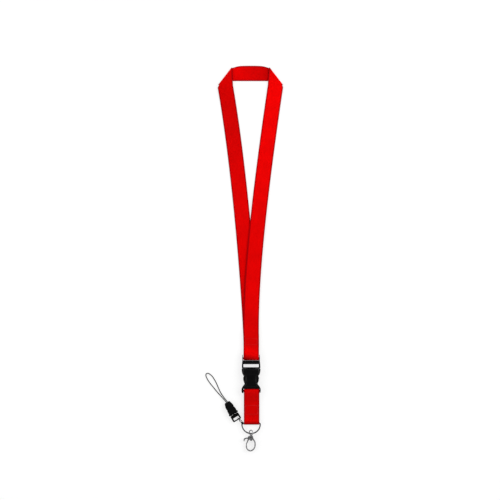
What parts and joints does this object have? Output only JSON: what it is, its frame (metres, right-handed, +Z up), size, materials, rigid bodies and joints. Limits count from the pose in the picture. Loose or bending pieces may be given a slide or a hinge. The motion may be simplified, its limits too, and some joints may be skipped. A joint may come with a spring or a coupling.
{
  "type": "lanyard with side-release buckle and swivel hook",
  "caption": "Folded webbing neck lanyard with a side-release buckle, a webbing tab with a D-ring, a swivel trigger hook and a clip-on phone cord loop, lying flat.",
  "frame": {"origin": "on the table under the middle of the lanyard, with the phone cord left out of that middle", "axes": "+Y along the lanyard towards the neck band, +X across it to the right with the front layer up, +Z up from the table"},
  "size_m": [0.1001, 0.4972, 0.0085],
  "materials": {
    "red_webbing": "matt woven polyester ribbon",
    "red_thread": "polyester sewing thread",
    "black_plastic": "satin moulded acetal",
    "steel_wire": "nickel-plated steel wire",
    "nickel_casting": "nickel-plated zinc casting",
    "black_cord": "thin braided polyester cord"
  },
  "bodies": {
    "neck_strap": {"neck_band": "red_webbing", "left_leg": "red_webbing", "right_leg": "red_webbing", "neck_loop": "red_webbing", "neck_stitching": "red_thread"},
    "buckle_frame_body": {"buckle_frame": "black_plastic"},
    "left_prong_body": {"prong_left": "black_plastic"},
    "right_prong_body": {"prong_right": "black_plastic"},
    "buckle_shell_body": {"buckle_shell": "black_plastic"},
    "tab_body": {"tab_webbing": "red_webbing", "tab_stitching": "red_thread"},
    "ring_body": {"d_ring": "steel_wire"},
    "eye_body": {"swivel_eye": "nickel_casting"},
    "hook_casting": {"hook_body": "nickel_casting", "gate_pin": "steel_wire", "gate_spring": "steel_wire"},
    "gate_body": {"gate_lever": "nickel_casting"},
    "link_body": {"link_loop": "black_cord"},
    "mini_frame_body": {"mini_frame": "black_plastic"},
    "mini_left_prong_body": {"mini_prong_left": "black_plastic"},
    "mini_right_prong_body": {"mini_prong_right": "black_plastic"},
    "mini_housing_body": {"mini_housing": "black_plastic", "cord_ferrule": "steel_wire", "phone_cord": "black_cord"}
  },
  "joints": [
    {"name": "buckle_tilt", "type": "hinge", "parent": "neck_strap", "child": "buckle_frame_body", "pos_m": [0.0006, -0.1285, 0.0042], "axis": [1, 0, 0], "range_deg": [-60, 60]},
    {"name": "prong_left_squeeze", "type": "hinge", "parent": "buckle_frame_body", "child": "left_prong_body", "pos_m": [-0.0061, -0.142, 0.0042], "axis": [0, 0, 1], "range_deg": [0, 5], "stiffness_Nm_per_rad": 0.005},
    {"name": "prong_right_squeeze", "type": "hinge", "parent": "buckle_frame_body", "child": "right_prong_body", "pos_m": [0.0073, -0.142, 0.0042], "axis": [0, 0, 1], "range_deg": [-5, 0]},
    {"name": "buckle_release", "type": "slide", "parent": "buckle_frame_body", "child": "buckle_shell_body", "axis": [0, -1, 0], "range_m": [0, 0.022], "deforming": ["prong_left", "prong_right"]},
    {"name": "tab_tilt", "type": "hinge", "parent": "buckle_shell_body", "child": "tab_body", "pos_m": [0.0006, -0.1704, 0.0042], "axis": [1, 0, 0], "range_deg": [-60, 60]},
    {"name": "ring_swing", "type": "hinge", "parent": "tab_body", "child": "ring_body", "pos_m": [0.0006, -0.212, 0.0027], "axis": [1, 0, 0], "range_deg": [-90, 90]},
    {"name": "eye_swing", "type": "hinge", "parent": "ring_body", "child": "eye_body", "pos_m": [0.0006, -0.22555, 0.0027], "axis": [1, 0, 0], "range_deg": [-60, 60]},
    {"name": "hook_swivel", "type": "hinge", "parent": "eye_body", "child": "hook_casting", "pos_m": [0.0006, -0.231, 0.00285], "axis": [0, 1, 0], "continuous": true},
    {"name": "gate_open", "type": "hinge", "parent": "hook_casting", "child": "gate_body", "pos_m": [-0.0025, -0.2312, 0.00285], "axis": [0, 0, 1], "range_deg": [0, 25], "stiffness_Nm_per_rad": 0.05, "springref_deg": -11.46, "deforming": ["gate_spring"]},
    {"name": "link_swing", "type": "hinge", "parent": "ring_body", "child": "link_body", "pos_m": [-0.01025, -0.21224, 0.0027], "axis": [0.8, 0.6, 0], "range_deg": [-60, 60]},
    {"name": "mini_swing", "type": "hinge", "parent": "link_body", "child": "mini_frame_body", "pos_m": [-0.01526, -0.20676, 0.0023], "axis": [0.8616, 0.5075, 0], "range_deg": [-45, 45]},
    {"name": "mini_prong_left_squeeze", "type": "hinge", "parent": "mini_frame_body", "child": "mini_left_prong_body", "pos_m": [-0.02448, -0.20265, 0.0023], "axis": [0, 0, 1], "range_deg": [-6, 0], "stiffness_Nm_per_rad": 0.001},
    {"name": "mini_prong_right_squeeze", "type": "hinge", "parent": "mini_frame_body", "child": "mini_right_prong_body", "pos_m": [-0.01836, -0.19904, 0.0023], "axis": [0, 0, 1], "range_deg": [0, 6]},
    {"name": "mini_release", "type": "slide", "parent": "mini_frame_body", "child": "mini_housing_body", "axis": [-0.5075, 0.8616, 0], "range_m": [0, 0.011], "deforming": ["mini_prong_left", "mini_prong_right"]}
  ],
  "couplings": [
    {"joint": "prong_right_squeeze", "follows": "prong_left_squeeze", "ratio": -1},
    {"joint": "mini_prong_right_squeeze", "follows": "mini_prong_left_squeeze", "ratio": -1}
  ]
}
